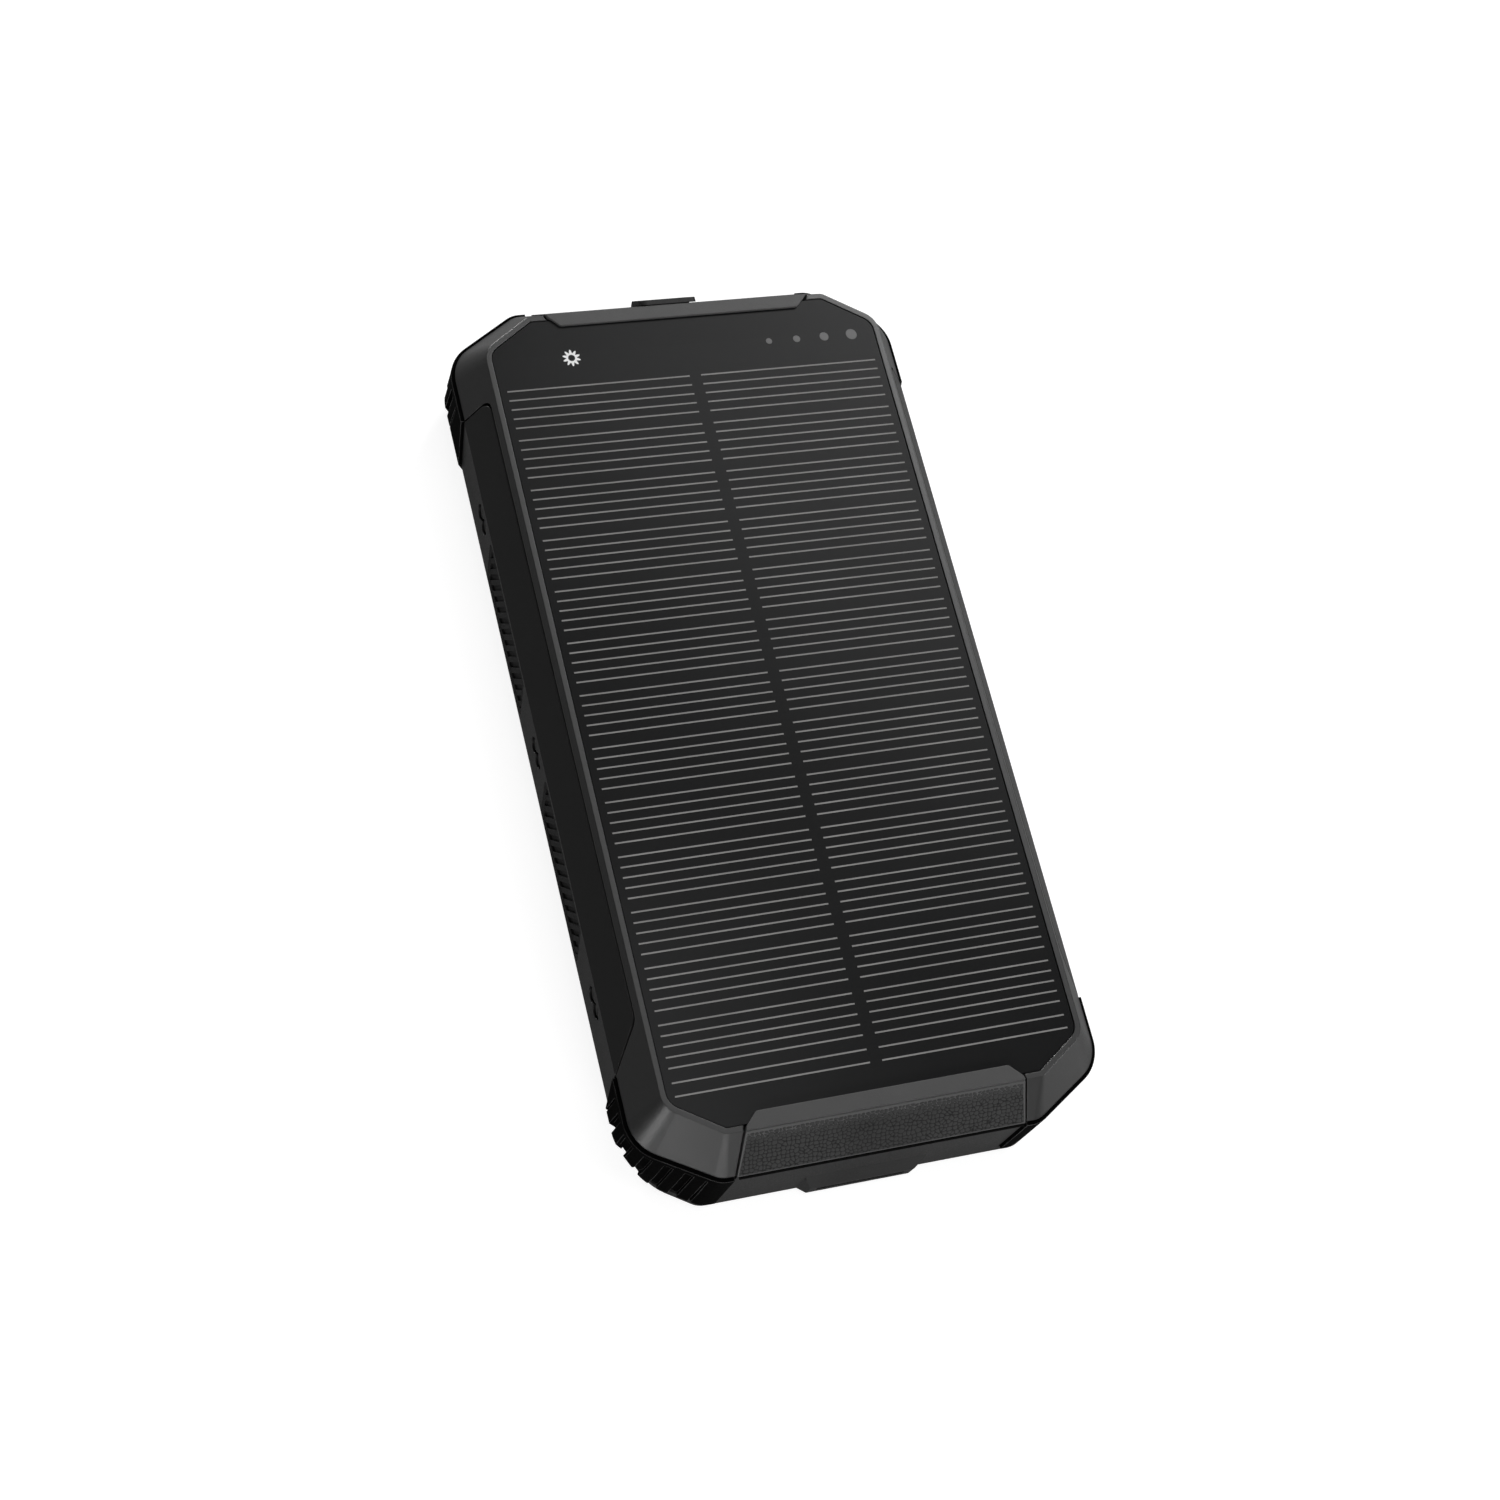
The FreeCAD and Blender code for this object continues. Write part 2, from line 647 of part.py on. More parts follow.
# indicator dots: light guides through the glass, with their lamps and board
dot_places = [(first_dot_x + i * dot_pitch, dot_y, r) for i, r in enumerate(dot_radii)]
solar_glass = solar_glass.cut(
    [rod(r + dot_fit, (x, y, glass_z - 1), (x, y, BIG)) for x, y, r in dot_places])
indicator_lenses = [rod(r, (x, y, glass_z - led_gap + seat_gap), (x, y, glass_top_z - dot_sink))
                    for x, y, r in dot_places]
led_top_z = glass_z - led_gap
led_z = led_top_z - led_height
led_half = led_size / 2
indicator_leds = [box(x - led_half, x + led_half, y - led_half, y + led_half, led_z, led_top_z)
                  for x, y, r in dot_places]
indicator_y0 = cell_area_far_y + indicator_board_gap
indicator_board = box(dot_places[0][0] - indicator_board_margins[0],
                      dot_places[-1][0] + indicator_board_margins[1],
                      indicator_y0, indicator_y0 + indicator_board_width, led_z - backing_thickness, led_z)
indicator_board = indicator_board.cut(
    rod(case_boss_radius + seam, (*case_boss_xy, 0), (*case_boss_xy, case_height)))

# ---------------------------------------------------------------- front frame
frame = form(0, frame_z, bezel_z).cut(form(wall, 0, deck_z))
frame = frame.cut([window, glass_room(glass_clearance)])
boss_places = [(sx * case_boss_xy[0], sy * case_boss_xy[1]) for sx in (-1, 1) for sy in (-1, 1)]
frame_bosses = [rod(case_boss_radius, (x, y, frame_z), (x, y, deck_z + 0.1)) for x, y in boss_places]
frame = frame.fuse(frame_bosses).cut(rail_cuts + cap_cuts)
case_screw_z = back_z + case_screw_sink
screw_tip_z = case_screw_z + case_screw_length
frame = frame.cut([rod(case_screw_radius + thread_fit, (x, y, 0), (x, y, screw_tip_z + 0.5))
                   for x, y in boss_places])
front_frame = max(frame.Solids, key=lambda s: s.Volume)

# ---------------------------------------------------------------- rear shell
shell = form(0, back_z, shell_top_z).cut(form(wall, floor_z, BIG))
shell_bosses = [rod(case_boss_radius, (x, y, back_z), (x, y, shell_top_z)).common(form(0.1))
                for x, y in boss_places]
standoff_places = [(sx * standoff_x, board_near_y + y) for sx in (-1, 1) for y in standoff_places_y]
standoffs = [rod(standoff_radius, (x, y, floor_z - 0.1), (x, y, board_z)) for x, y in standoff_places]

# torch housing: a wedge that grows out of the near wall towards the back
torch_y = -far_y - end_flare
torch_front_y = torch_y - torch_proud
torch_root_y = torch_y + 2
wedge_points = [(torch_root_y, torch_top_z), (torch_root_y, back_z), (torch_front_y, back_z),
                (torch_front_y, torch_slot_z + torch_lip), (torch_y + torch_shoulder, torch_top_z)]
torch_wedge = side_prism(wedge_points, [0] * 5, -torch_half_width, torch_half_width)
taper_half = torch_half_width - torch_taper
taper = prism([(-torch_half_width, torch_root_y + 1), (-torch_half_width, torch_y),
               (-taper_half, torch_front_y), (taper_half, torch_front_y),
               (torch_half_width, torch_y), (torch_half_width, torch_root_y + 1)],
              [0, 0, 0.4, 0.4, 0, 0], 0, case_height)
torch_wedge = torch_wedge.common(taper)

shell = shell.fuse(shell_bosses + standoffs + [torch_wedge])


def slot_box(grow, y0, y1):
    """Box along Y with the torch slot's section."""
    half = torch_slot[0] / 2 + grow
    high = torch_slot[1] / 2 + grow
    return box(-half, half, y0, y1, torch_slot_z - high, torch_slot_z + high)


torch_seat_y = torch_front_y + torch_lens_sink + torch_lens_depth
torch_slot_cut = slot_box(seat_gap, torch_front_y - 1, -far_y + wall + 2)
torch_lens = slot_box(0, torch_front_y + torch_lens_sink, torch_seat_y)
torch_led_y = torch_seat_y + torch_led_gap
torch_led_half = torch_led_size[0] / 2
torch_board_y = torch_led_y + torch_led_size[1]
torch_leds = [box(x - torch_led_half, x + torch_led_half, torch_led_y, torch_board_y,
                  torch_slot_z - torch_led_size[2] / 2, torch_slot_z + torch_led_size[2] / 2)
              for x in (-torch_led_pitch, 0, torch_led_pitch)]
torch_board_half = torch_slot[0] / 2 + torch_board_margin
torch_board = box(-torch_board_half, torch_board_half, torch_board_y, torch_board_y + torch_board_thickness,
                  *torch_board_z)
edge_fit, face_fit = torch_board_fit
torch_board_room = box(
    -torch_board_half - edge_fit, torch_board_half + edge_fit,
    torch_led_y - face_fit, torch_board_y + torch_board_thickness + edge_fit,
    torch_board_z[0] - face_fit, torch_board_z[1] + edge_fit)

# pocket of the socket cover, with the middle knuckle left standing
cover_top_z = bezel_z - cover_top_drop
pocket = box(-cover_half_width - cover_gap, cover_half_width + cover_gap, pocket_y, far_y + 3,
             pocket_bottom_z, cover_top_z + cover_gap)
middle_knuckle = rod(knuckle_radius, (-knuckle_inner_x + cover_gap, hinge_y, hinge_z),
                     (knuckle_inner_x - cover_gap, hinge_y, hinge_z))
knuckle_web = box(-knuckle_inner_x + cover_gap, knuckle_inner_x - cover_gap, pocket_y - 0.2, hinge_y,
                  pocket_bottom_z - 0.2, hinge_z)
pin_half = cover_half_width + pin_reach
bore_half = pin_half + 2 * hinge_fit
pin_bore = rod(hinge_pin_radius + hinge_fit / 2,
               (-bore_half, hinge_y, hinge_z), (bore_half, hinge_y, hinge_z))

# sockets on the main board, their mouths flush with the pocket's back wall
board_top_z = board_z + board_thickness
mouth_y = pocket_y - mouth_gap
socket_a_z = board_top_z + socket_a_shell[1] / 2
socket_c_z = socket_a_z


def rounded_along_y(block, radius):
    """The block with its four long edges rounded."""
    return block.makeFillet(radius, [e for e in block.Edges if abs(e.tangentAt(e.FirstParameter).y) > 0.9])


def socket_shell(x, z, size, radius):
    """Folded sheet-metal socket shell, open at its mouth."""
    half, high, length = size[0] / 2, size[1] / 2, size[2]
    outside = box(x - half, x + half, mouth_y - length, mouth_y, z - high, z + high)
    half -= socket_wall
    high -= socket_wall
    inside = box(x - half, x + half, mouth_y - length + socket_wall, mouth_y + 1, z - high, z + high)
    return rounded_along_y(outside, radius).cut(rounded_along_y(inside, radius - socket_wall))


def socket_mouth(x, z, size):
    """Opening in the wall round one socket."""
    half = size[0] / 2 + socket_fit
    high = size[1] / 2 + socket_fit
    return box(x - half, x + half, far_y - wall - 3, far_y, z - high, z + high)


usb_a_shells = [socket_shell(x, socket_a_z, socket_a_shell, socket_corner_radius)
                for x in (-socket_a_x, socket_a_x)]
usb_c_shell = socket_shell(0, socket_c_z, socket_c_shell, socket_c_radius)


def tongue(x, z, size, shell_size):
    """Contact tongue on the socket's back wall."""
    half, high = size[0] / 2, size[1] / 2
    back_y = mouth_y - shell_size[2] + socket_wall
    return box(x - half, x + half, back_y, mouth_y - size[2], z - high, z + high)


usb_a_tongues = [tongue(x, socket_a_z + tongue_a_rise, tongue_a, socket_a_shell)
                 for x in (-socket_a_x, socket_a_x)]
usb_c_tongue = tongue(0, socket_c_z, tongue_c, socket_c_shell)
usb_c_riser = box(-socket_c_shell[0] / 2, socket_c_shell[0] / 2,
                  mouth_y - socket_c_shell[2], mouth_y - usb_c_riser_setback,
                  board_top_z, socket_c_z - socket_c_shell[1] / 2)
mouths = [socket_mouth(x, socket_a_z, socket_a_shell) for x in (-socket_a_x, socket_a_x)]
mouths.append(socket_mouth(0, socket_c_z, socket_c_shell))


def pad_shape(x, y, grow, z0, z1):
    """Rest pad: a small rounded block."""
    half_x, half_y = pad_size[0] / 2 + grow, pad_size[1] / 2 + grow
    corners = [(x + half_x, y - half_y), (x + half_x, y + half_y),
               (x - half_x, y + half_y), (x - half_x, y - half_y)]
    return prism(corners, [pad_corner_radius + grow] * 4, z0, z1)


pads = [(sx * pad_x, sy * (far_y - pad_setback)) for sx in (-1, 1) for sy in (-1, 1)]
rest_pads = [pad_shape(x, y, 0, 0, back_z + pad_seat - seat_gap) for x, y in pads]

# screws that clamp the shell to the frame, with a cross recess in each head
head_top_z = case_screw_z + case_screw_head[1]
case_screw_cuts = []
case_screws = []
for x, y in boss_places:
    case_screw_cuts.append(rod(case_screw_head[0] + case_screw_fit, (x, y, 0), (x, y, head_top_z)))
    case_screw_cuts.append(rod(case_screw_radius + case_screw_fit, (x, y, 0), (x, y, BIG)))
    head = rod(case_screw_head[0], (x, y, case_screw_z), (x, y, head_top_z - thread_fit))
    shank = rod(case_screw_radius, (x, y, head_top_z - case_screw_fit), (x, y, screw_tip_z))
    cross_length, cross_width, cross_depth = case_screw_cross
    recess = Part.makeBox(cross_length, cross_width, cross_depth + 0.1,
                          FreeCAD.Vector(x - cross_length / 2, y - cross_width / 2, case_screw_z - 0.1))
    cross = recess.copy()
    cross.rotate(FreeCAD.Vector(x, y, 0), FreeCAD.Vector(0, 0, 1), 90)
    case_screws.append(head.fuse(shank).cut([recess, cross]))

# cord seal, clamped in a groove of the shell under the frame
seal_outer = wall - seal_cord_inset
seal_inner = seal_outer - seal_cord_width
seal_top_z = frame_z - thread_fit
seal_z = seal_top_z - seal_cord_height
frame_seal = form(seal_inner, seal_z, seal_top_z).cut(form(seal_outer, 0, BIG))
seal_groove = form(seal_inner - seal_cord_fit, seal_z - thread_fit, BIG).cut(
    form(seal_outer + seal_cord_fit, 0, BIG))

# room for the small board behind the power button
button_z = bezel_z - button_drop
flange_x1 = side_x - skin - seat_gap
plunger_x = flange_x1 - button_flange_thickness - button_travel - seat_gap
switch_x1 = plunger_x - switch_pin_length
switch_x0 = switch_x1 - switch_size[0]
switch_board_box = (switch_x0 - switch_board_thickness, switch_x0,
                    button_y - switch_board_length / 2, button_y + switch_board_length / 2,
                    button_z - switch_board_reach[0], button_z + switch_board_reach[1])
room = [edge + (seam if i % 2 else -seam) for i, edge in enumerate(switch_board_box)]
button_board_room = box(*room)

shell = shell.cut(rail_cuts + guard_cuts + screw_holes + [pocket])
shell = shell.fuse([middle_knuckle, knuckle_web])
shell = shell.cut([pin_bore, torch_slot_cut, torch_board_room, seal_groove, button_board_room])
shell = shell.cut(mouths + case_screw_cuts + [flange_room])
shell = shell.cut([pad_shape(x, y, seat_gap, 0, back_z + pad_seat) for x, y in pads])
shell = shell.cut([rod(board_screw_radius + thread_fit, (x, y, floor_z + 0.5), (x, y, BIG))
                   for x, y in standoff_places])
rear_shell = max(shell.Solids, key=lambda s: s.Volume)

# ---------------------------------------------------------------- socket cover and its hinge
cover_y1 = far_y + cover_face_proud
cover_y0 = cover_y1 - cover_thickness
plate = box(-cover_half_width, cover_half_width, cover_y0, cover_y1, hinge_z, cover_top_z)
upper_corners = [e for e in plate.Edges
                 if abs(e.tangentAt(e.FirstParameter).y) > 0.9 and e.CenterOfMass.z > hinge_z + 1]
plate = plate.makeFillet(cover_corner_radius, upper_corners)
plate = plate.cut(box(-knuckle_inner_x, knuckle_inner_x, 0, BIG, 0, hinge_z + knuckle_radius + cover_gap))
knuckles = [rod(knuckle_radius, (x0, hinge_y, hinge_z), (x1, hinge_y, hinge_z))
            for x0, x1 in ((-knuckle_outer_x, -knuckle_inner_x), (knuckle_inner_x, knuckle_outer_x))]


def bevel_y(z):
    """How far out the face of the far end cap lies at a level."""
    slope = (bezel_far_y - far_y) / (bezel_z - ridge_z)
    return far_y + cap_proud / 2 + slope * (z - ridge_z)


# the pull tab grows out of the cover's top edge and lies along the sloping cap above it
tab_top_z = bezel_z - tab_top_drop
tab_root_z = cover_top_z - tab_root_height
tab_low_y, tab_high_y = bevel_y(cover_top_z) + tab_gap, bevel_y(tab_top_z) + tab_gap
tab_root_y = cover_y0 + tab_root_sink
tab_section = [(tab_root_y, tab_root_z), (tab_low_y + tab_root_fillet, tab_root_z),
               (tab_low_y + tab_thickness, cover_top_z), (tab_high_y + tab_thickness, tab_top_z),
               (tab_high_y, tab_top_z), (tab_low_y, cover_top_z), (tab_root_y, cover_top_z)]
pull_tab = side_prism(tab_section, [0] * 7, -tab_half_width, tab_half_width)
upper_corners = [e for e in pull_tab.Edges if abs(e.CenterOfMass.x) > tab_half_width - 0.01
                 and e.CenterOfMass.z > tab_top_z - 0.01]
pull_tab = pull_tab.makeFillet(tab_corner_radius, upper_corners)
outside_knuckles = box(knuckle_outer_x, cover_half_width + 1, 0, BIG, 0, hinge_z + knuckle_radius)
cover_bore = rod(hinge_pin_radius + hinge_fit, (-bore_half, hinge_y, hinge_z), (bore_half, hinge_y, hinge_z))
port_cover = plate.cut(both_sides(outside_knuckles)).fuse(knuckles + [pull_tab]).cut(cover_bore)
cover_hinge_pin = rod(hinge_pin_radius, (-pin_half, hinge_y, hinge_z), (pin_half, hinge_y, hinge_z))
seal_half = cover_half_width - seal_margin
cover_seal = box(-seal_half, seal_half, cover_y0 - seal_thickness, cover_y0,
                 socket_a_z - socket_a_shell[1] / 2 - seal_edge[0],
                 socket_a_z + socket_a_shell[1] / 2 + seal_edge[1])

# ---------------------------------------------------------------- main board
board_far_y = far_y - wall - board_wall_gap
main_board = box(-board_half_width, board_half_width, board_near_y, board_far_y, board_z, board_top_z)
main_board = main_board.cut(
    [rod(board_screw_radius + case_screw_fit, (x, y, 0), (x, y, BIG)) for x, y in standoff_places])
board_screws = []
for x, y in standoff_places:
    head = rod(board_screw_head[0], (x, y, board_top_z), (x, y, board_top_z + board_screw_head[1]))
    shank = rod(board_screw_radius, (x, y, board_z - board_screw_depth), (x, y, board_top_z))
    board_screws.append(head.fuse(shank))
board_inductors = []
for x in (-inductor_x, inductor_x):
    near_y = board_near_y + inductor_setback
    coil = box(x - inductor_size[0] / 2, x + inductor_size[0] / 2, near_y, near_y + inductor_size[1],
               board_top_z, board_top_z + inductor_size[2])
    upright = [e for e in coil.Edges if abs(e.tangentAt(e.FirstParameter).z) > 0.9]
    board_inductors.append(coil.makeFillet(inductor_corner_radius, upright))
board_chips = [box(x0, x1, board_near_y + y0, board_near_y + y1, board_top_z, board_top_z + height)
               for x0, x1, y0, y1, height in chip_boxes]

# ---------------------------------------------------------------- battery
cell_half_width = side_x - wall - cell_side_gap
cell_near_y = cell_near_gap - far_y
cell_far_y = board_near_y - cell_board_gap


def pouch(z0):
    """Flat cell in its pouch, with rounded upright corners."""
    x = cell_half_width
    corners = [(x, cell_near_y), (x, cell_far_y), (-x, cell_far_y), (-x, cell_near_y)]
    return prism(corners, [cell_corner] * 4, z0, z0 + cell_thickness)


lower_z = floor_z + foam_thickness
middle_foam_z = lower_z + cell_thickness
battery_cell_lower = pouch(lower_z)
battery_cell_upper = pouch(middle_foam_z + foam_thickness)


def foam_strip(x, z):
    """Strip of foam tape under a cell."""
    return box(x - foam_width / 2, x + foam_width / 2, cell_near_y + foam_margin,
               cell_far_y - foam_margin, z, z + foam_thickness)


foam_x = cell_half_width - foam_width
cell_foam_pads = [foam_strip(x, z) for z in (floor_z, middle_foam_z) for x in (-foam_x, foam_x)]

# ---------------------------------------------------------------- power button and its switch
button_cap = side_prism(*button_outline(0), side_x - skin - 4 * seat_gap, side_x + button_proud)
button_rim = [e for e in button_cap.Edges if abs(e.CenterOfMass.x - side_x - button_proud) < 0.01]
button_cap = button_cap.makeFillet(button_edge_radius, button_rim)
button_base = side_prism(*button_outline(button_flange), flange_x1 - button_flange_thickness, flange_x1)
power_button = button_cap.fuse(button_base)
switch_body = box(switch_x0, switch_x1, button_y - switch_size[1] / 2, button_y + switch_size[1] / 2,
                  button_z - switch_size[2] / 2, button_z + switch_size[2] / 2)
switch_pin = rod(switch_pin_radius,
                 (switch_x1 - seat_gap, button_y, button_z), (plunger_x, button_y, button_z))
button_switch = switch_body.fuse(switch_pin)
button_board = box(*switch_board_box)

# ---------------------------------------------------------------- write every node
os.makedirs("parts", exist_ok=True)
nodes = {
    "front_frame": front_frame,
    "solar_glass": solar_glass,
    "solar_cells": solar_cells,
    "panel_backing": panel_backing,
    "indicator_lenses": indicator_lenses,
    "indicator_leds": indicator_leds,
    "indicator_board": indicator_board,
    "near_end_cap": caps["near"],
    "far_end_cap": caps["far"],
    "rear_shell": rear_shell,
    "frame_seal": frame_seal,
    "left_rail": left_rail,
    "right_rail": right_rail,
    "left_grips": left_grips,
    "right_grips": right_grips,
    "left_rail_screws": left_screws,
    "right_rail_screws": right_screws,
    "corner_guard_near_left": mirror_x(guards["near"]),
    "corner_guard_near_right": guards["near"],
    "corner_guard_far_left": mirror_x(guards["far"]),
    "corner_guard_far_right": guards["far"],
    "rest_pads": rest_pads,
    "case_screws": case_screws,
    "port_cover": port_cover,
    "cover_seal": cover_seal,
    "cover_hinge_pin": cover_hinge_pin,
    "usb_a_shells": usb_a_shells,
    "usb_a_tongues": usb_a_tongues,
    "usb_c_shell": usb_c_shell,
    "usb_c_tongue": usb_c_tongue,
    "usb_c_riser": usb_c_riser,
    "main_board": main_board,
    "board_screws": board_screws,
    "board_inductors": board_inductors,
    "board_chips": board_chips,
    "battery_cell_lower": battery_cell_lower,
    "battery_cell_upper": battery_cell_upper,
    "cell_foam_pads": cell_foam_pads,
    "power_button": power_button,
    "button_switch": button_switch,
    "button_board": button_board,
    "torch_lens": torch_lens,
    "torch_leds": torch_leds,
    "torch_board": torch_board,
}
for node, shape in nodes.items():
    write(node, shape)
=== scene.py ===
import math

import bpy
import numpy as np
from mathutils import Euler, Matrix, Vector


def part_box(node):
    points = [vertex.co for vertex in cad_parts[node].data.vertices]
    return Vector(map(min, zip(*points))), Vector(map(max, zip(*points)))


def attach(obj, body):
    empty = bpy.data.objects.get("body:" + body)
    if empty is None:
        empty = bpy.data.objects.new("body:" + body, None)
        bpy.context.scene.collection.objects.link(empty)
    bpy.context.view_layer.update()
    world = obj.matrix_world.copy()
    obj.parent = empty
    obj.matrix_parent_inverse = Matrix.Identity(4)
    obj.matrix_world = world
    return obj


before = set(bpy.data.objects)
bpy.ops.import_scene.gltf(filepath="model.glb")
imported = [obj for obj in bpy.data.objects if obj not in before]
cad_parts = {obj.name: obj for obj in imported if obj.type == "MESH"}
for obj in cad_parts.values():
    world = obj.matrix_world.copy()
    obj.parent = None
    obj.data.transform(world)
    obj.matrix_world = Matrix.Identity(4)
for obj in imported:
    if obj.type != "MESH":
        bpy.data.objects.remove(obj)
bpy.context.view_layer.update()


# ---------------------------------------------------------------- rear shell
# The rear shell is the tray that everything is screwed into: glass-filled nylon, moulded in
# one shot with a spark-eroded matt texture, so its skin is a fine even grain with no gloss.
MM = 0.001
mottle_scale = 70.0                     # blotches of colour to the metre
edge_begins, edge_full = 0.995, 0.85    # cosine of the angle by which the softened normal turns
rough_swing = 0.07


def shader_of(name):
    """A new material, its node tree and its surface shader."""
    material = bpy.data.materials.new(name)
    material.use_nodes = True
    tree = material.node_tree
    shader = tree.nodes["Principled BSDF"]
    return material, tree, shader


def add_node(tree, kind, **settings):
    """One shader node with its plain settings; a key such as in_Scale sets that input."""
    node = tree.nodes.new(kind)
    for key, value in settings.items():
        if key.startswith("in_"):
            node.inputs[key[3:].replace("_", " ")].default_value = value
        else:
            setattr(node, key, value)
    return node


def between(tree, source, low, high, new_low, new_high):
    """The source value carried from one range to another, held at the ends."""
    ramp = add_node(tree, "ShaderNodeMapRange", in_From_Min=low, in_From_Max=high,
                    in_To_Min=new_low, in_To_Max=new_high)
    tree.links.new(source, ramp.inputs["Value"])
    return ramp.outputs["Result"]


def product(tree, first, second):
    """Two values multiplied."""
    times = add_node(tree, "ShaderNodeMath", operation="MULTIPLY")
    tree.links.new(first, times.inputs[0])
    tree.links.new(second, times.inputs[1])
    return times.outputs[0]


def blend_colours(tree, factor, first, second):
    """Two colours mixed by a factor; a colour is a grey or three numbers, or a socket."""
    mix = add_node(tree, "ShaderNodeMix", data_type="RGBA")
    tree.links.new(factor, mix.inputs["Factor"])
    for socket, colour in ((mix.inputs["A"], first), (mix.inputs["B"], second)):
        if isinstance(colour, bpy.types.NodeSocket):
            tree.links.new(colour, socket)
        else:
            socket.default_value = (*colour, 1)
    return mix.outputs["Result"]


def grey(level, warm=0.0):
    """A near-neutral linear colour."""
    return (level * (1 + warm), level, level * (1 - warm))


def moulded(name, colour, rough=0.5, gloss=0.3, grain=0.35 * MM, relief=0.012 * MM, mottle=0.12,
            edge=0.22 * MM, worn_and_lit_colour=None, wear_and_highlight=0.5, metal=0.0):
    """Moulded or cast finish: mottled colour, grained skin, softened edges painted paler, partly scuffing
    and partly a painted highlight.

    The grain is fractal noise on the piece's own coordinates; an edge is where the softened
    normal turns away from the face's own normal.
    """
    material, tree, shader = shader_of(name)
    place = add_node(tree, "ShaderNodeTexCoord").outputs["Object"]
    fine = add_node(tree, "ShaderNodeTexNoise", in_Scale=1 / grain, in_Detail=3.0, in_Roughness=0.6)
    broad = add_node(tree, "ShaderNodeTexNoise", in_Scale=mottle_scale, in_Detail=4.0, in_Roughness=0.55)
    for noise in (fine, broad):
        tree.links.new(place, noise.inputs["Vector"])

    soft = add_node(tree, "ShaderNodeBevel", samples=4, in_Radius=edge)
    flat = add_node(tree, "ShaderNodeNewGeometry").outputs["Normal"]
    turn = add_node(tree, "ShaderNodeVectorMath", operation="DOT_PRODUCT")
    tree.links.new(soft.outputs["Normal"], turn.inputs[0])
    tree.links.new(flat, turn.inputs[1])
    on_edge = between(tree, turn.outputs["Value"], edge_begins, edge_full, 0.0, wear_and_highlight)
    rubbed_and_lit = product(tree, on_edge, between(tree, broad.outputs["Fac"], 0.35, 0.65, 0.35, 1.0))

    dark = tuple(c * (1 - mottle) for c in colour)
    pale = tuple(c * (1 + mottle) for c in colour)
    body = blend_colours(tree, between(tree, broad.outputs["Fac"], 0.3, 0.7, 0.0, 1.0), dark, pale)
    # paler colour along the edges: partly scuffing, partly a painted highlight where edges would catch the
    # light
    worn_and_lit_edge = worn_and_lit_colour or tuple(min(1.0, c * 2.2 + 0.01) for c in colour)
    body = blend_colours(tree, rubbed_and_lit, body, worn_and_lit_edge)
    tree.links.new(body, shader.inputs["Base Color"])
    roughness = between(tree, fine.outputs["Fac"], 0.3, 0.7, rough - rough_swing, rough + rough_swing)
    tree.links.new(roughness, shader.inputs["Roughness"])
    bump = add_node(tree, "ShaderNodeBump", in_Strength=1.0, in_Distance=relief)
    tree.links.new(fine.outputs["Fac"], bump.inputs["Height"])
    tree.links.new(soft.outputs["Normal"], bump.inputs["Normal"])
    tree.links.new(bump.outputs["Normal"], shader.inputs["Normal"])
    shader.inputs["Specular IOR Level"].default_value = gloss
    shader.inputs["Metallic"].default_value = metal
    return material


def paint(material, *nodes):
    """Gives CAD nodes their finish."""
    for node in nodes:
        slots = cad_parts[node].data.materials
        slots.clear()
        slots.append(material)


shell_nylon = moulded("shell_nylon", grey(0.024), rough=0.55, gloss=0.12, grain=0.3 * MM)
paint(shell_nylon, "rear_shell")


# ---------------------------------------------------------------- rest pads and seals
# Soft silicone: four pads pressed into their seats in the back, the cord that seals the
# parting line and the flat gasket behind the socket cover.
pad_rubber = moulded("pad_rubber", grey(0.016), rough=0.75, gloss=0.2, grain=0.5 * MM, relief=0.02 * MM)
paint(pad_rubber, "rest_pads", "frame_seal", "cover_seal")


# ---------------------------------------------------------------- battery
# Two flat lithium cells in aluminium-laminate pouches, taped to the floor and to each other
# with strips of grey foam.
pouch_foil = moulded("pouch_foil", (0.56, 0.57, 0.59), rough=0.32, gloss=0.5, grain=1.8 * MM,
                     relief=0.06 * MM, mottle=0.05, metal=0.9, worn_and_lit_colour=(0.75, 0.76, 0.78))
paint(pouch_foil, "battery_cell_lower", "battery_cell_upper")
foam_tape = moulded("foam_tape", grey(0.12), rough=0.95, gloss=0.1, grain=0.25 * MM, relief=0.08 * MM)
paint(foam_tape, "cell_foam_pads")


# ---------------------------------------------------------------- boards
# Glass-epoxy boards under green solder mask.  The tracks show through the mask as slightly
# paler, slightly raised lines on a regular grid.
track_pitch = {"X": 1.9 * MM, "Y": 2.7 * MM}
track_rise = 0.035 * MM
mask_green = (0.008, 0.06, 0.022)
track_green = (0.02, 0.13, 0.045)


def circuit_board(name):
    """Green solder mask with paler track lines: the brighter parts of two crossed wave patterns.

    A wave repeats at pi / 10 divided by its scale, so its pitch gives its scale.
    """
    material, tree, shader = shader_of(name)
    place = add_node(tree, "ShaderNodeTexCoord").outputs["Object"]
    tracks = []
    for direction, pitch in track_pitch.items():
        wave = add_node(tree, "ShaderNodeTexWave", bands_direction=direction,
                        in_Scale=math.pi / 10 / pitch, in_Distortion=1.5, in_Detail=1.0)
        tree.links.new(place, wave.inputs["Vector"])
        tracks.append(between(tree, wave.outputs["Fac"], 0.86, 0.9, 0.0, 1.0))
    either = add_node(tree, "ShaderNodeMath", operation="MAXIMUM")
    for i, track in enumerate(tracks):
        tree.links.new(track, either.inputs[i])
    mask = blend_colours(tree, either.outputs[0], mask_green, track_green)
    tree.links.new(mask, shader.inputs["Base Color"])
    bump = add_node(tree, "ShaderNodeBump", in_Strength=0.6, in_Distance=track_rise)
    tree.links.new(either.outputs[0], bump.inputs["Height"])
    tree.links.new(bump.outputs["Normal"], shader.inputs["Normal"])
    tree.links.new(between(tree, either.outputs[0], 0, 1, 0.38, 0.28), shader.inputs["Roughness"])
    return material


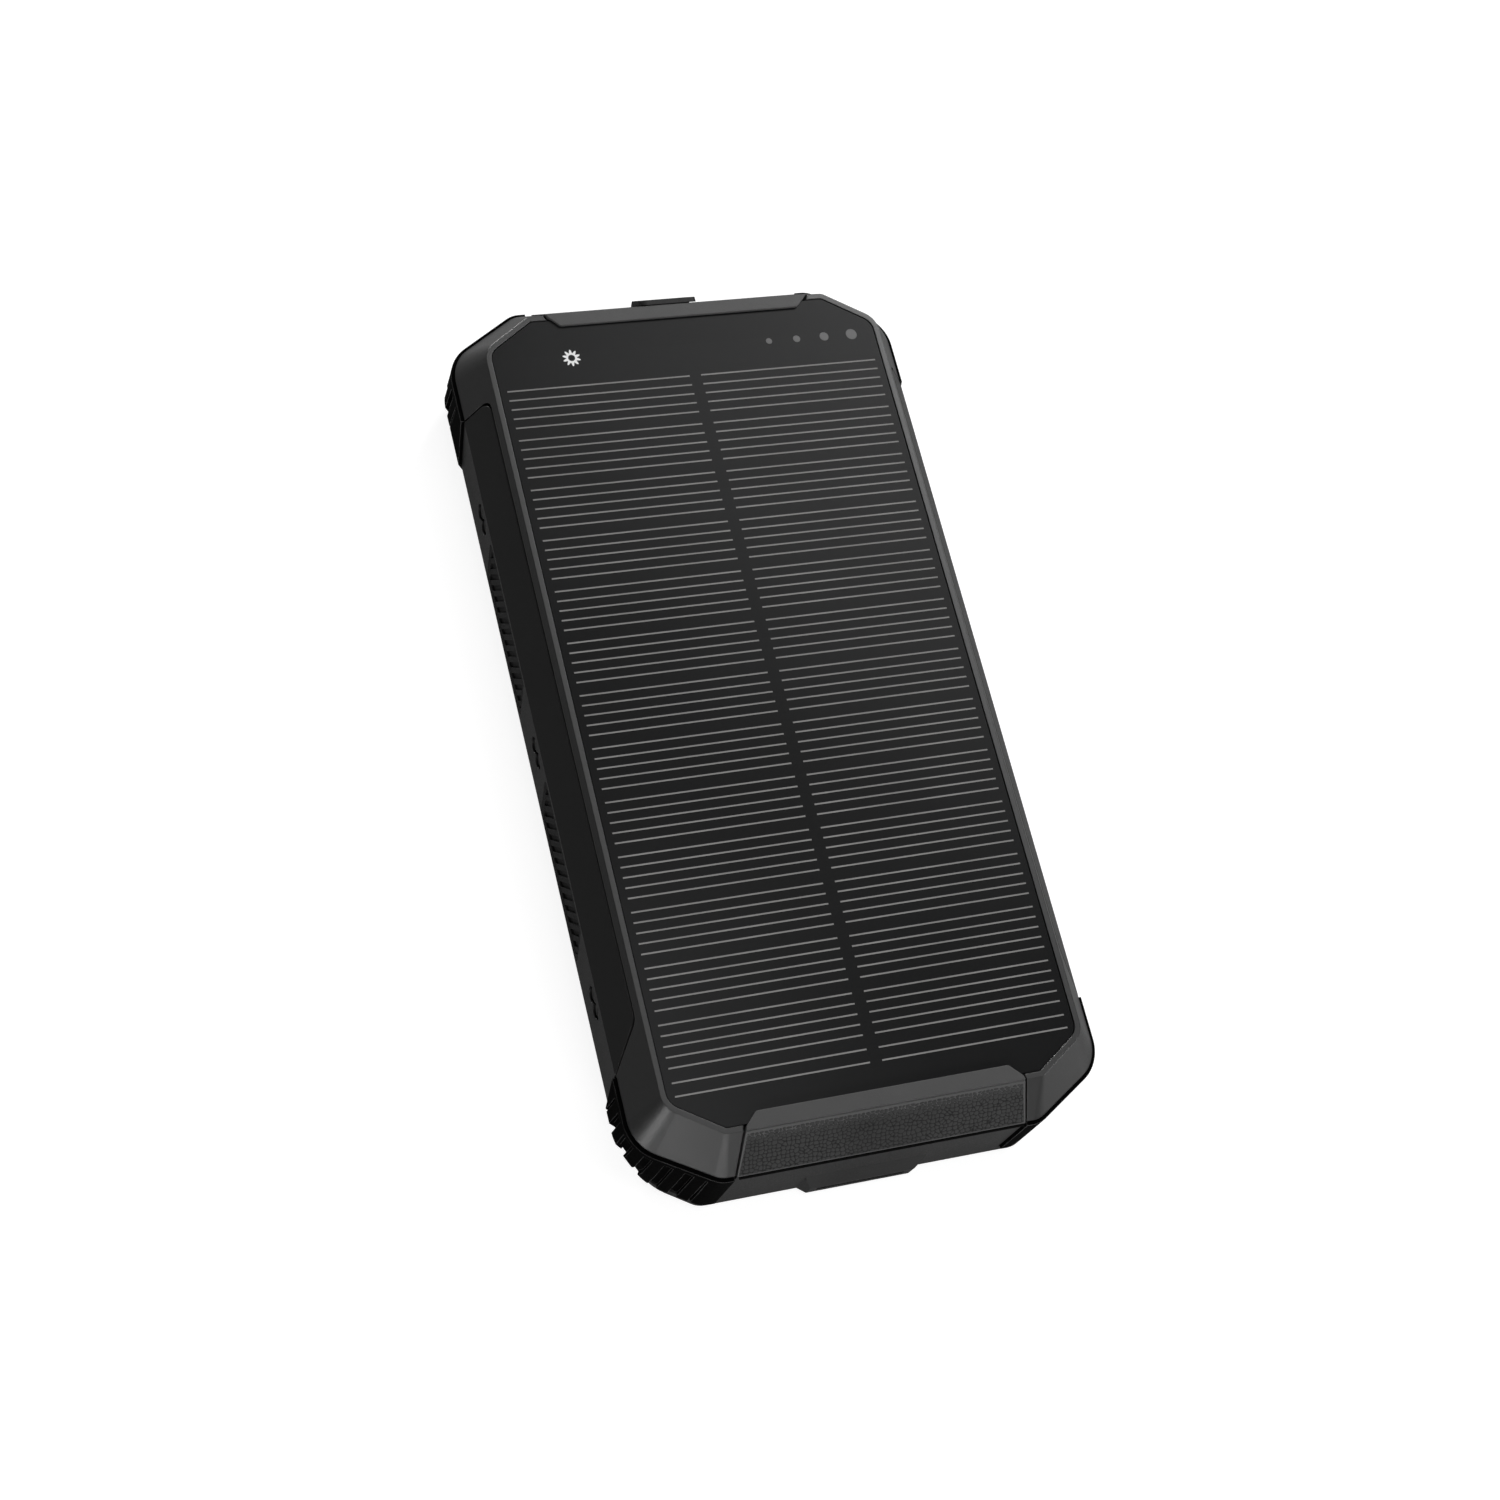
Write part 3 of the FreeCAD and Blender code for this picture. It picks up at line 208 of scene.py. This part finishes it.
green_board = circuit_board("green_board")
paint(green_board, "main_board", "button_board", "torch_board", "indicator_board", "usb_c_riser")
chip_epoxy = moulded("chip_epoxy", grey(0.018), rough=0.45, gloss=0.4, grain=0.15 * MM, relief=0.006 * MM)
paint(chip_epoxy, "board_chips", "button_switch")
coil_ferrite = moulded("coil_ferrite", (0.06, 0.058, 0.056), rough=0.6, gloss=0.35, grain=0.2 * MM)
paint(coil_ferrite, "board_inductors")


# ---------------------------------------------------------------- sockets
# Folded and plated steel shells with a moulded contact tongue in each, soldered to the main
# board; the same plated steel is used for the screws and the hinge pin.
plated_steel = moulded("plated_steel", (0.58, 0.57, 0.55), rough=0.28, gloss=0.5, grain=0.6 * MM,
                       relief=0.004 * MM, mottle=0.06, metal=1.0, worn_and_lit_colour=(0.8, 0.79, 0.77))
paint(plated_steel, "usb_a_shells", "usb_c_shell", "cover_hinge_pin", "board_screws")
tongue_nylon = moulded("tongue_nylon", grey(0.03), rough=0.5, gloss=0.35)
paint(tongue_nylon, "usb_a_tongues", "usb_c_tongue")


# ---------------------------------------------------------------- torch
# Three white lamps on a small board behind a clear bar lens, which is a push fit in the slot
# of the near end's housing.
lens_acrylic = moulded("lens_acrylic", grey(0.10), rough=0.16, gloss=0.6, grain=0.8 * MM, relief=0.002 * MM)
paint(lens_acrylic, "torch_lens")
lamp_resin = moulded("lamp_resin", (0.75, 0.62, 0.22), rough=0.4, gloss=0.4, mottle=0.05)
paint(lamp_resin, "torch_leds", "indicator_leds")


# ---------------------------------------------------------------- front frame
# The frame carries the panel and gives the bevelled border round it.  It is the same nylon in
# a finer, slightly brighter texture.
frame_nylon = moulded("frame_nylon", grey(0.006), rough=0.36, gloss=0.60, grain=0.22 * MM,
                      relief=0.007 * MM, mottle=0.08)
paint(frame_nylon, "front_frame")


# ---------------------------------------------------------------- solar panel
# The cells are cut silicon strips laminated under one satin sheet that fills the bezel.  The
# silver finger lines of each strip show in two columns with a dark gap between them.
panel_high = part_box("solar_glass")[1]
cells_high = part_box("solar_cells")[1]
fingers_in_strip = 5
finger_pitch = 1.775 * MM           # inside a strip
strip_pitch = 9.51 * MM
strip_count = 13
odd_fingers = 2                     # part of a last strip, at the near end
odd_finger_pitch = 2.2 * MM
finger_width = 0.27 * MM
finger_rise = 0.02 * MM
first_finger = cells_high.y - 0.65 * MM
column_gap_half = 1.05 * MM
column_margin = 1.25 * MM           # from a column's outer end to the sheet's edge
darkest_strip = grey(0.0055, -0.02)
palest_strip = grey(0.0085, -0.03)
crystal_scale = 35.0                # cloudy patches to the metre
dust_scale = 6000.0                 # the sheet's fine matt skin
dust_rise = 0.003 * MM


def panel_sheet():
    """Satin dark sheet whose tone is half a random level for each strip and half cloudy noise.

    A strip's number is its distance along Y over the strip pitch, rounded down.
    """
    material, tree, shader = shader_of("panel_sheet")
    place = add_node(tree, "ShaderNodeTexCoord").outputs["Object"]
    parts = add_node(tree, "ShaderNodeSeparateXYZ")
    tree.links.new(place, parts.inputs[0])
    strip = add_node(tree, "ShaderNodeMath", operation="DIVIDE")
    tree.links.new(parts.outputs["Y"], strip.inputs[0])
    strip.inputs[1].default_value = strip_pitch
    whole = add_node(tree, "ShaderNodeMath", operation="FLOOR")
    tree.links.new(strip.outputs[0], whole.inputs[0])
    tone = add_node(tree, "ShaderNodeTexWhiteNoise", noise_dimensions="1D")
    tree.links.new(whole.outputs[0], tone.inputs["W"])
    crystal = add_node(tree, "ShaderNodeTexNoise", in_Scale=crystal_scale, in_Detail=2.0)
    dust = add_node(tree, "ShaderNodeTexNoise", in_Scale=dust_scale, in_Detail=2.0)
    for noise in (crystal, dust):
        tree.links.new(place, noise.inputs["Vector"])
    mixed = add_node(tree, "ShaderNodeMath", operation="ADD")
    tree.links.new(between(tree, tone.outputs["Value"], 0, 1, 0.0, 0.5), mixed.inputs[0])
    tree.links.new(between(tree, crystal.outputs["Fac"], 0.3, 0.7, 0.0, 0.5), mixed.inputs[1])
    colour = blend_colours(tree, mixed.outputs[0], darkest_strip, palest_strip)
    tree.links.new(colour, shader.inputs["Base Color"])
    tree.links.new(between(tree, dust.outputs["Fac"], 0.3, 0.7, 0.17, 0.25), shader.inputs["Roughness"])
    bump = add_node(tree, "ShaderNodeBump", in_Strength=0.5, in_Distance=dust_rise)
    tree.links.new(dust.outputs["Fac"], bump.inputs["Height"])
    tree.links.new(bump.outputs["Normal"], shader.inputs["Normal"])
    shader.inputs["Specular IOR Level"].default_value = 0.15
    return material


paint(panel_sheet(), "solar_glass")
silicon = moulded("silicon", (0.012, 0.016, 0.035), rough=0.25, gloss=0.6, grain=2.0 * MM, relief=0.0)
paint(silicon, "solar_cells")
backing_board = moulded("backing_board", (0.10, 0.085, 0.05), rough=0.6, gloss=0.3)
paint(backing_board, "panel_backing")


def new_piece(name, points, faces, material, body, slot, smooth=True):
    """A mesh piece from computed points and faces, riding on a CAD body."""
    mesh = bpy.data.meshes.new(name)
    mesh.from_pydata(points.reshape(-1, 3).tolist(), [], faces.reshape(-1, faces.shape[-1]).tolist())
    mesh.polygons.foreach_set("use_smooth", [smooth] * len(mesh.polygons))
    mesh.materials.append(material)
    mesh.validate()
    piece = bpy.data.objects.new(name, mesh)
    bpy.context.scene.collection.objects.link(piece)
    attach(piece, body)
    return piece


def grid_faces(rows, columns, closed=False):
    """Quads between neighbouring points of a grid, counted row by row; closed joins the last column."""
    i, j = np.meshgrid(np.arange(rows - 1), np.arange(columns if closed else columns - 1), indexing="ij")
    nxt = (j + 1) % columns
    quads = np.stack([i * columns + j, (i + 1) * columns + j,
                      (i + 1) * columns + nxt, i * columns + nxt], -1)
    return quads.reshape(-1, 4)


def finger_lines():
    """Every silver line as a low bar: its height across is a half ellipse, level along its length."""
    starts = first_finger - strip_pitch * np.arange(strip_count + 1)
    full = starts[:-1, None] - finger_pitch * np.arange(fingers_in_strip)
    odd = starts[-1] - odd_finger_pitch * np.arange(odd_fingers)
    lines = np.concatenate([full.ravel(), odd])
    angle = np.linspace(0, math.pi, 5)
    across = np.cos(angle) * finger_width / 2
    rise = np.sin(angle) * finger_rise
    outer = panel_high.x - column_margin
    columns = np.array([(-outer, -column_gap_half), (column_gap_half, outer)])
    shape = (len(columns), len(lines), 2, len(angle))
    x = np.broadcast_to(columns[:, None, :, None], shape)
    y = np.broadcast_to(lines[:, None, None] + across, shape)
    z = np.broadcast_to(panel_high.z + rise, shape)
    offsets = np.arange(len(columns) * len(lines)) * 2 * len(angle)
    faces = grid_faces(2, len(angle)) + offsets[:, None, None]
    return np.stack([x, y, z], -1), faces


finger_silver = moulded("finger_silver", (0.200, 0.197, 0.193), rough=0.5, gloss=0.3, grain=0.2 * MM,
                        relief=0.004 * MM, mottle=0.15, edge=0.01 * MM, wear_and_highlight=0.0)
new_piece("finger_lines", *finger_lines(), finger_silver, "case", "silicon")


# ---------------------------------------------------------------- sun symbol and indicator dots
# A small sun is printed in white ink near the far left corner, for the charging light; the
# four grey dots on the right are the ends of light guides that stand in the panel sheet.
sun_place = (-21.35 * MM, panel_high.y - 7.56 * MM)
sun_hole = 0.62 * MM
sun_disc = 0.96 * MM
sun_tip = 1.62 * MM
sun_rays = 10
points_in_ray = 16
ink_rise = 0.012 * MM


def sun_symbol():
    """Ring whose outer edge is a cosine wave between the disc and the ray tips, one crest to a ray."""
    angle = np.linspace(0, 2 * math.pi, sun_rays * points_in_ray, endpoint=False)
    swing = 0.5 - 0.5 * np.cos(sun_rays * angle)
    outer = sun_disc + (sun_tip - sun_disc) * swing
    inner = np.full_like(angle, sun_hole)
    radius = np.stack([outer, outer, inner, inner])
    height = np.array([0.0, ink_rise, ink_rise, 0.0])[:, None] + np.zeros_like(angle)
    points = np.stack([sun_place[0] + radius * np.cos(angle), sun_place[1] + radius * np.sin(angle),
                       panel_high.z + height], -1)
    return points, grid_faces(4, len(angle), closed=True)[:, ::-1]


white_ink = moulded("white_ink", grey(0.82), rough=0.5, gloss=0.3, grain=0.1 * MM, relief=0.003 * MM,
                    mottle=0.03, edge=0.005 * MM, wear_and_highlight=0.0)
new_piece("sun_symbol", *sun_symbol(), white_ink, "case", "clear_lens", smooth=False)
guide_resin = moulded("guide_resin", grey(0.105), rough=0.45, gloss=0.35, grain=0.15 * MM, relief=0.004 * MM,
                      edge=0.05 * MM)
paint(guide_resin, "indicator_lenses")


# ---------------------------------------------------------------- end caps
# A cap closes each end over the bezel: a smooth raised band along the panel's edge and, below
# it, a slope.  The near slope is textured like grained leather for a thumb to find.
cap_plastic = moulded("cap_plastic", grey(0.050), rough=0.48, gloss=0.36, grain=0.25 * MM,
                      relief=0.02 * MM, mottle=0.08)
paint(cap_plastic, "near_end_cap", "far_end_cap")
cap_low, cap_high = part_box("near_end_cap")
slope_top = np.array([0, cap_low.y + 5.35 * MM, cap_high.z - 0.65 * MM])
slope_foot = np.array([0, cap_low.y + 0.12 * MM, cap_low.z + 0.2 * MM])
slope_half = (24.0 * MM, 24.85 * MM)    # half its length at the top and at the foot
pebble_pitch = 0.78 * MM
pebble_height = 0.16 * MM
pebble_steepness = 2.2
crease_floor = 0.35                 # height of a crease, as a share of a pebble's
outline_ramp = 0.25 * MM            # the sheet rises over this width inside its outline
outline_sink = 0.02 * MM
lattice_size = 512
seed_shake = (0.12, 0.88)           # a seed stays inside this part of its lattice square
grain_seed = 7


def nearest_seed(x, y, pitch, seed):
    """Distance from each point to the nearest and second nearest of a shaken square lattice."""
    shake = np.random.default_rng(seed).uniform(*seed_shake, (lattice_size, lattice_size, 2))
    column, row = np.floor(x / pitch).astype(int), np.floor(y / pitch).astype(int)
    near = np.full(x.shape, np.inf)
    second = np.full(x.shape, np.inf)
    for step_x in (-1, 0, 1):
        for step_y in (-1, 0, 1):
            a, b = column + step_x, row + step_y
            jump = shake[a % lattice_size, b % lattice_size]
            distance = np.hypot(a + jump[..., 0] - x / pitch, b + jump[..., 1] - y / pitch)
            second = np.minimum(second, np.maximum(near, distance))
            near = np.minimum(near, distance)
    return near, second


def leather_patch():
    """Sheet on the cap's slope, a little raised over the cap and sunk into it along its outline.

    Its height is the gap between the distances to the nearest and second nearest seeds, so
    pebbles stand between narrow creases.
    """
    columns, rows = 420, 70
    u = np.linspace(-1, 1, columns)[None, :]
    v = np.linspace(0, 1, rows)[:, None]
    x = u * (slope_half[0] + (slope_half[1] - slope_half[0]) * v)
    down = slope_foot - slope_top
    run = np.linalg.norm(down)
    out = np.cross([1.0, 0, 0], down / run)
    out *= np.sign(out[2])
    near, second = nearest_seed(x, v * run + 0 * u, pebble_pitch, grain_seed)
    pebble = np.clip((second - near) * pebble_steepness, 0, 1)
    margin = np.minimum(np.minimum((1 - abs(u)) * slope_half[0], v * run), (1 - v) * run)
    relief = pebble_height * (crease_floor + (1 - crease_floor) * pebble)
    rise = relief * np.clip(margin / outline_ramp, 0, 1) - outline_sink
    points = slope_top + v[..., None] * down + rise[..., None] * out
    points[..., 0] += x
    return points, grid_faces(rows, columns), pebble


def shaded_in_creases(material, attribute, crease_shade_colour):
    """The same finish with painted shade: its colour darkened where the attribute is low, down in the
    creases.
    """
    tree = material.node_tree
    shader = tree.nodes["Principled BSDF"]
    height = add_node(tree, "ShaderNodeAttribute", attribute_name=attribute)
    body = shader.inputs["Base Color"].links[0].from_socket
    depth = between(tree, height.outputs["Fac"], 0.1, 0.6, 0.0, 1.0)
    tree.links.new(blend_colours(tree, depth, crease_shade_colour, body), shader.inputs["Base Color"])
    return material


leather_points, leather_faces, leather_height = leather_patch()
# the near-black crease colour is painted shade down in the creases of the grain
grain_plastic = shaded_in_creases(moulded("grain_plastic", grey(0.030), rough=0.6, gloss=0.14, grain=0.2 * MM,
                                relief=0.01 * MM, mottle=0.2), "height", grey(0.004))
leather = new_piece("cap_leather_grain", leather_points, leather_faces, grain_plastic, "case",
                    "cap_plastic")
heights = leather.data.attributes.new("height", "FLOAT", "POINT")
heights.data.foreach_set("value", leather_height.ravel())


# ---------------------------------------------------------------- parting-line lip, a painted shadow line
# A thin near-black strip along the parting line under the near cap is a painted shadow, put where the gap
# between the cap's foot and the rear shell is in shade.  It is shaped as a lip of the soft silicone cord
# that seals the parting line, pinched between the cap's foot and the rear shell.
shell_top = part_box("rear_shell")[1].z
lip_half_length = slope_half[1] - 0.05 * MM
lip_half_depth = 0.75 * MM
lip_proud = 0.42 * MM               # out of the cap's foot
lip_half_height = 0.45 * (cap_low.z - shell_top)
lip_power = 0.6                     # below 1 the section is squarer than an ellipse


def shadow_lip():
    """A flat rounded section carried straight along x, closed by rows of quads across both ends.

    The section is a superellipse: each coordinate is its half size times the cosine or sine of
    the angle, raised to a power with its sign kept.
    """
    sides, sections = 16, 41
    angle = (np.arange(sides) + 0.5) * 2 * math.pi / sides
    across = np.sign(np.cos(angle)) * np.abs(np.cos(angle)) ** lip_power * lip_half_depth
    upward = np.sign(np.sin(angle)) * np.abs(np.sin(angle)) ** lip_power * lip_half_height
    x = np.linspace(-lip_half_length, lip_half_length, sections)[:, None] + 0 * angle
    y = cap_low.y - lip_proud + lip_half_depth + across + 0 * x
    z = (cap_low.z + shell_top) / 2 + upward + 0 * x
    step = np.arange(sides // 2 - 1)
    end = np.stack([step, step + 1, sides - 2 - step, sides - 1 - step], -1)
    far_end = end[:, ::-1] + (sections - 1) * sides
    tube = grid_faces(sections, sides, closed=True)[:, ::-1]
    faces = np.concatenate([tube, end[:, ::-1], far_end[:, ::-1]])
    return np.stack([x, y, z], -1), faces


# near black all over: a painted shadow of the gap at the parting line
painted_shadow_rubber = moulded("painted_shadow_rubber", grey(0.002), rough=0.75, gloss=0.05, grain=0.3 * MM, relief=0.01 * MM,
                     edge=0.03 * MM, wear_and_highlight=0.0)
new_piece("parting_shadow_lip", *shadow_lip(), painted_shadow_rubber, "case", "seal_rubber", smooth=False)


# ---------------------------------------------------------------- side rails
# Hard nylon rails are let into both long sides and held by small screws in pairs; ribbed
# rubber grips are pressed into their pockets.
rail_nylon = moulded("rail_nylon", grey(0.005), rough=0.40, gloss=0.30, grain=0.3 * MM,
                     relief=0.008 * MM, mottle=0.1)
paint(rail_nylon, "left_rail", "right_rail")
grip_rubber = moulded("grip_rubber", grey(0.012), rough=0.7, gloss=0.2, grain=0.3 * MM, relief=0.02 * MM)
paint(grip_rubber, "left_grips", "right_grips")
black_steel = moulded("black_steel", grey(0.03), rough=0.35, gloss=0.4, grain=0.4 * MM, relief=0.005 * MM,
                      metal=0.6)
paint(black_steel, "left_rail_screws", "right_rail_screws", "case_screws")


# ---------------------------------------------------------------- corner guards
# Thick rubber guards wrap the four corners; upright tread blocks stand out of their faces.
# the pale grey along the tread edges is a painted highlight, standing in for light caught by the edges of
# the blocks
guard_rubber = moulded("guard_rubber", grey(0.0012), rough=0.8, gloss=0.02, grain=0.4 * MM, relief=0.02 * MM,
                       edge=0.16 * MM, worn_and_lit_colour=grey(0.16), wear_and_highlight=0.9)
paint(guard_rubber, "corner_guard_near_left", "corner_guard_near_right",
      "corner_guard_far_left", "corner_guard_far_right")


# ---------------------------------------------------------------- socket cover and power button
# The socket cover is a rubber door on a steel pin, with a tab that lies over the far cap.  The
# power button is a nylon key behind a hole in the right rail.
cover_rubber = moulded("cover_rubber", grey(0.020), rough=0.6, gloss=0.25, grain=0.3 * MM, relief=0.015 * MM)
paint(cover_rubber, "port_cover")
button_nylon = moulded("button_nylon", grey(0.035), rough=0.45, gloss=0.3, grain=0.25 * MM)
paint(button_nylon, "power_button")


# ---------------------------------------------------------------- floor, lights and camera
# The charger lies on a white sweep.  A bank at the near end and a glow over the far right corner
# give most of the light; smaller lights low at the near corners and the far end catch the slopes.
floor_shown = 0.82                  # brightness of the floor to the eye
backdrop_shown = 0.85
backdrop_fill = 0.05                # light that the backdrop gives to the charger


def lay_floor():
    """A flat square that reaches the same distance to each side of the origin."""
    half = 3.0
    points = np.array([[-half, -half, 0], [half, -half, 0], [half, half, 0], [-half, half, 0]])
    mesh = bpy.data.meshes.new("floor")
    mesh.from_pydata(points.tolist(), [], [(0, 1, 2, 3)])
    material, tree, shader = shader_of("floor_white")
    shader.inputs["Base Color"].default_value = (0.42, 0.42, 0.42, 1)
    shader.inputs["Roughness"].default_value = 0.9
    shader.inputs["Specular IOR Level"].default_value = 0.0
    shader.inputs["Emission Color"].default_value = (1, 1, 1, 1)
    seen = add_node(tree, "ShaderNodeLightPath").outputs["Is Camera Ray"]
    tree.links.new(between(tree, seen, 0, 1, 0.0, floor_shown), shader.inputs["Emission Strength"])
    mesh.materials.append(material)
    floor = bpy.data.objects.new("floor", mesh)
    bpy.context.scene.collection.objects.link(floor)


def soft_light(name, place, target, width, height, power):
    """Rectangular light at a place, facing a target."""
    light = bpy.data.lights.new(name, "AREA")
    light.shape = "RECTANGLE"
    light.size, light.size_y, light.energy = width, height, power
    lamp = bpy.data.objects.new(name, light)
    lamp.location = place
    lamp.rotation_euler = (Vector(target) - Vector(place)).to_track_quat("-Z", "Y").to_euler()
    bpy.context.scene.collection.objects.link(lamp)
    return lamp


lay_floor()
soft_light("panel_glow", (0.85, 0.85, 1.35), (0, 0, 0), 0.8, 0.8, 4)
soft_light("far_right_glow", (1.15, 1.15, 1.20), (0, 0, 0), 0.8, 0.8, 20)
soft_light("overhead", (0.1, 0.0, 1.8), (0, 0, 0), 1.0, 1.0, 6)
soft_light("near_bank", (-0.2, -1.6, 0.5), (0, 0, 0), 1.3, 0.6, 16)
soft_light("near_left_strip", (-1.15, -0.90, 0.30), (0, -0.05, 0), 0.5, 0.3, 5.5)
soft_light("near_right_strip", (1.3, -0.8, 0.25), (0, 0, 0), 0.5, 0.3, 9)
soft_light("far_left_spot", (-0.14, 1.15, 0.12), (0, 0, 0.01), 0.12, 0.12, 8)

world = bpy.data.worlds.new("studio")
world.use_nodes = True
backdrop = world.node_tree.nodes["Background"]
backdrop.inputs["Color"].default_value = (1, 1, 1, 1)
backdrop_seen = add_node(world.node_tree, "ShaderNodeLightPath").outputs["Is Camera Ray"]
backdrop_strength = between(world.node_tree, backdrop_seen, 0, 1, backdrop_fill, backdrop_shown)
world.node_tree.links.new(backdrop_strength, backdrop.inputs["Strength"])
bpy.context.scene.world = world
bpy.context.scene.view_settings.view_transform = "Standard"

camera_place = (-0.1569, -0.1583, 0.4320)
camera_turn = (23.104, -14.896, -14.155)    # degrees about X, then Y, then Z
camera_data = bpy.data.cameras.new("camera")
camera_data.lens = 66.5
camera_data.sensor_width = 36.0
camera_data.clip_start = 0.01
camera = bpy.data.objects.new("camera", camera_data)
turned = Euler([math.radians(angle) for angle in camera_turn]).to_matrix().to_4x4()
camera.matrix_world = Matrix.Translation(camera_place) @ turned
bpy.context.scene.collection.objects.link(camera)
bpy.context.scene.camera = camera
